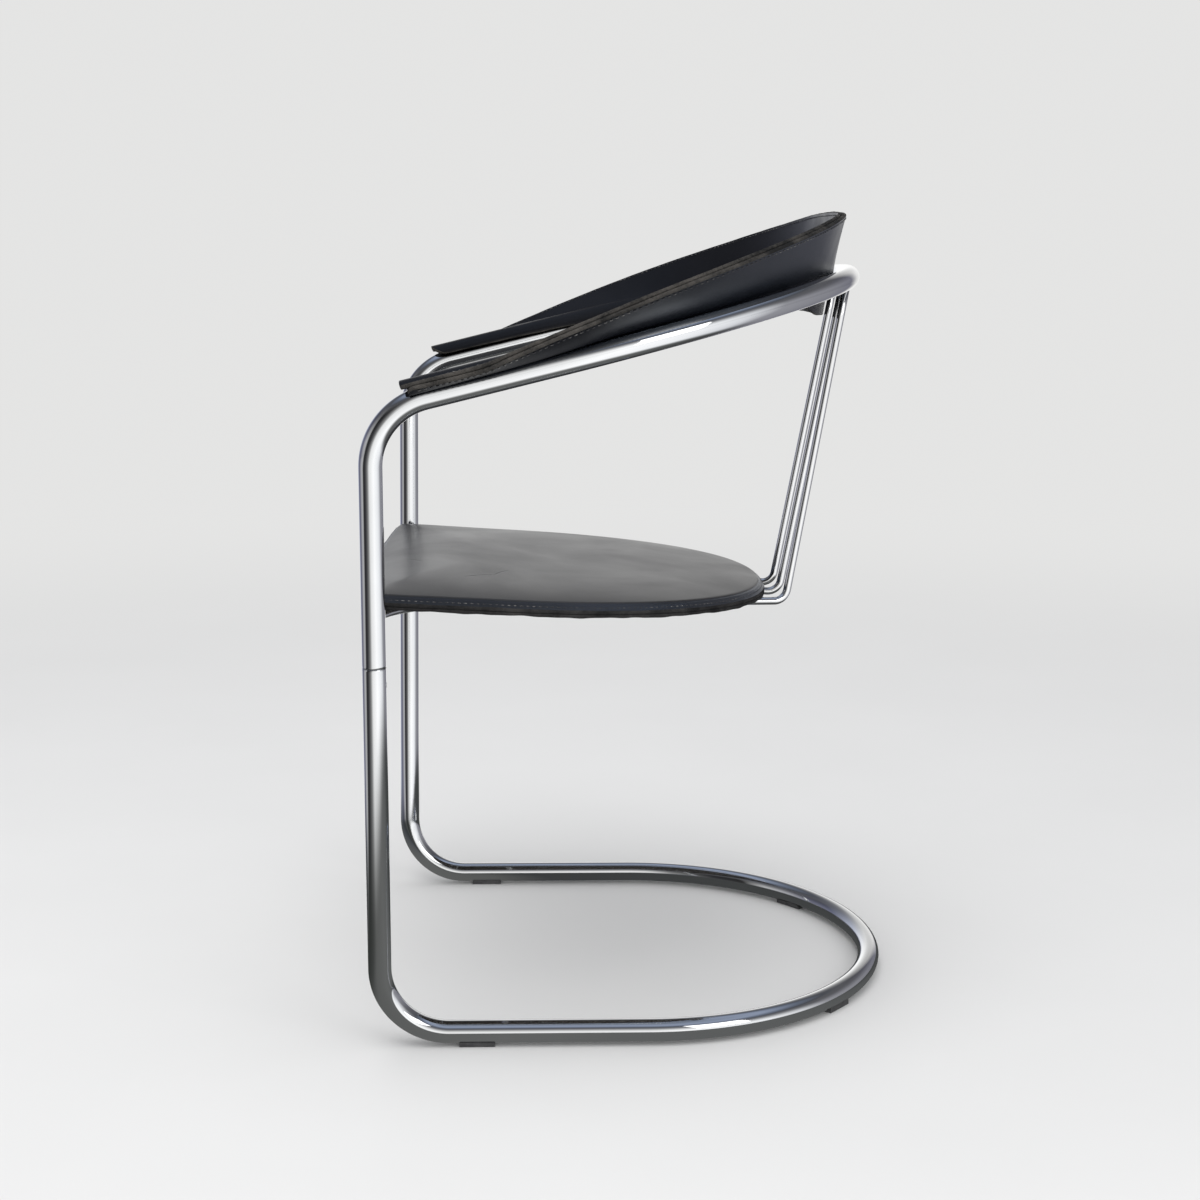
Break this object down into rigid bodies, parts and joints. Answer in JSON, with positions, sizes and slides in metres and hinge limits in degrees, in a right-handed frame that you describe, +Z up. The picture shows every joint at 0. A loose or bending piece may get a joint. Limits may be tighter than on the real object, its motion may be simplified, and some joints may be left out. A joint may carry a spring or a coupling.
{
  "type": "cantilever lounge chair",
  "caption": "Low tubular cantilever armchair: floor loop and arm frame in bright tube, a thin padded half-oval leather seat on rods, and a curved leather back that runs down into the arms.",
  "frame": {"origin": "on the floor, below the middle of the overall bounding box", "axes": "+Z up; the sitter faces -Y; +X is the sitter's left"},
  "size_m": [0.6814, 0.5389, 0.7942],
  "materials": {
    "chrome": "polished",
    "rod_chrome": "polished",
    "plain_steel": "zinc plated",
    "saddle_leather": "smooth, semi-gloss",
    "raw_leather": "rough flesh side",
    "plywood": "raw",
    "foam": "open-cell foam",
    "black_plastic": "satin"
  },
  "bodies": {
    "root": {"base_tube": "chrome", "arm_tube": "chrome", "seat_rod_left": "rod_chrome", "seat_rod_right": "rod_chrome", "seat_rod_centre": "rod_chrome", "seat_cross_rod": "rod_chrome", "leg_spigot_left": "plain_steel", "leg_spigot_right": "plain_steel", "leg_set_screw_left": "plain_steel", "leg_set_screw_right": "plain_steel", "seat_cover_leather": "saddle_leather", "seat_bottom_leather": "raw_leather", "seat_board": "plywood", "seat_pad": "foam", "back_outer_leather": "saddle_leather", "back_lining_leather": "saddle_leather", "seat_clip_left_1": "plain_steel", "seat_screw_left_1_a": "plain_steel", "seat_screw_left_1_b": "plain_steel", "seat_clip_left_2": "plain_steel", "seat_screw_left_2_a": "plain_steel", "seat_screw_left_2_b": "plain_steel", "glide_front_left": "black_plastic", "glide_rear_left": "black_plastic", "seat_clip_right_1": "plain_steel", "seat_screw_right_1_a": "plain_steel", "seat_screw_right_1_b": "plain_steel", "seat_clip_right_2": "plain_steel", "seat_screw_right_2_a": "plain_steel", "seat_screw_right_2_b": "plain_steel", "glide_front_right": "black_plastic", "glide_rear_right": "black_plastic", "back_screw_1": "plain_steel", "back_screw_2": "plain_steel", "back_screw_3": "plain_steel", "back_screw_4": "plain_steel", "back_screw_5": "plain_steel", "back_spacer_3": "plain_steel", "back_spacer_4": "plain_steel", "back_spacer_5": "plain_steel"}
  },
  "joints": []
}
